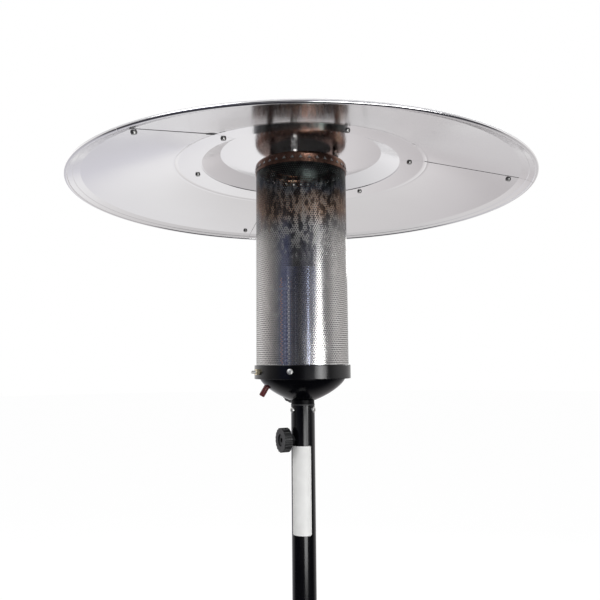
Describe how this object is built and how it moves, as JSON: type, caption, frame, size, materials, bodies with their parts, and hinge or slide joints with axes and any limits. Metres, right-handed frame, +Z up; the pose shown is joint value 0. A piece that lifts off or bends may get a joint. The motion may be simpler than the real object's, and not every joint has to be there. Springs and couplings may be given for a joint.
{
  "type": "portable gas heater",
  "caption": "Free-standing gas heater: round reflector over a perforated burner screen on a telescopic mast, with a lift-up cylinder housing and wheels.",
  "frame": {"origin": "on the mast axis at floor level, under the centre of the reflector", "axes": "+Z up along the mast, -Y the front that the picture shows, +X to the right of it"},
  "size_m": [0.813, 0.813, 1.8384],
  "materials": {
    "black_paint": "satin black powder coat",
    "ballast_iron": "raw cast iron",
    "foot_rubber": "matt rubber",
    "mast_black": "satin black paint",
    "zinc": "bright zinc plate",
    "black_plastic": "matt moulding",
    "knob_plastic": "satin moulding",
    "black_cast": "black enamel on a casting",
    "bowl_black": "satin black enamel",
    "collar_black": "satin black enamel",
    "stainless": "stainless sheet",
    "screen_steel": "perforated stainless sheet, heat tinted above",
    "brass": "turned brass",
    "burner_steel": "oxidised stainless",
    "red_button": "dark red moulding",
    "copper": "copper",
    "white_ceramic": "glazed insulator",
    "heat_tinted": "heat-tinted stainless",
    "reflector": "polished aluminium sheet",
    "housing_black": "satin black powder coat",
    "wheel_plastic": "matt moulding",
    "tyre": "solid rubber"
  },
  "bodies": {
    "base": {"base_pan": "black_paint", "ballast_ring": "ballast_iron", "rubber_feet": "foot_rubber", "support_leg_1": "black_paint", "support_leg_2": "black_paint", "support_leg_3": "black_paint", "mast_plate": "black_paint", "mast_tube": "mast_black", "frame_bolts": "zinc", "guide_bush": "black_plastic", "bush_screws": "zinc", "clamp_boss": "black_paint", "wheel_bracket": "black_paint", "wheel_axle": "zinc", "axle_caps": "black_plastic"},
    "head": {"inner_tube": "mast_black", "tube_glide": "black_plastic", "neck_socket": "black_cast", "bowl": "bowl_black", "collar": "collar_black", "burner_floor": "stainless", "burner_screen": "screen_steel", "collar_screws": "zinc", "earth_bolt": "zinc", "earth_nut": "brass", "mixer_tube": "stainless", "burner_head": "burner_steel", "gas_tap": "brass", "gas_jet": "brass", "hose_tail": "brass", "igniter_barrel": "black_plastic", "pilot_bracket": "stainless", "thermocouple": "copper", "pilot_burner": "stainless", "spark_electrode": "white_ceramic", "screen_top_ring": "heat_tinted", "reflector_studs": "zinc", "stud_nuts": "zinc", "centre_pan": "reflector", "reflector_panel_1": "reflector", "reflector_panel_2": "reflector", "reflector_panel_3": "reflector", "seam_screws": "zinc", "pan_bolts": "zinc", "dome_nuts": "zinc"},
    "clamp": {"clamp_stud": "zinc", "clamp_knob": "knob_plastic"},
    "tap": {"tap_spindle": "zinc", "control_knob": "knob_plastic"},
    "button": {"igniter_button": "red_button"},
    "housing": {"housing_shell": "housing_black", "housing_dome": "housing_black", "housing_bush": "black_plastic", "housing_rivets": "zinc"},
    "wheel_left": {"wheel_hub_left": "wheel_plastic", "wheel_tyre_left": "tyre"},
    "wheel_right": {"wheel_hub_right": "wheel_plastic", "wheel_tyre_right": "tyre"}
  },
  "joints": [
    {"name": "head_height", "type": "slide", "parent": "base", "child": "head", "axis": [0, 0, 1], "range_m": [0, 0.38]},
    {"name": "clamp_turn", "type": "hinge", "parent": "base", "child": "clamp", "pos_m": [-0.01887, -0.00921, 1.316], "axis": [-0.8988, -0.4384, 0], "range_deg": [0, 540]},
    {"name": "gas_control", "type": "hinge", "parent": "head", "child": "tap", "pos_m": [-0.01682, 0.06278, 1.3995], "axis": [-0.2306, 0.8606, -0.454], "range_deg": [-270, 0]},
    {"name": "igniter_press", "type": "slide", "parent": "head", "child": "button", "axis": [0.891, 0, 0.454], "range_m": [0, 0.005], "stiffness_N_per_m": 800, "springref_m": -0.002},
    {"name": "housing_lift", "type": "slide", "parent": "base", "child": "housing", "axis": [0, 0, 1], "range_m": [0, 0.55]},
    {"name": "wheel_left_spin", "type": "hinge", "parent": "base", "child": "wheel_left", "pos_m": [0, 0.272, 0.052], "axis": [1, 0, 0], "continuous": true},
    {"name": "wheel_right_spin", "type": "hinge", "parent": "base", "child": "wheel_right", "pos_m": [0, 0.272, 0.052], "axis": [1, 0, 0], "continuous": true}
  ]
}
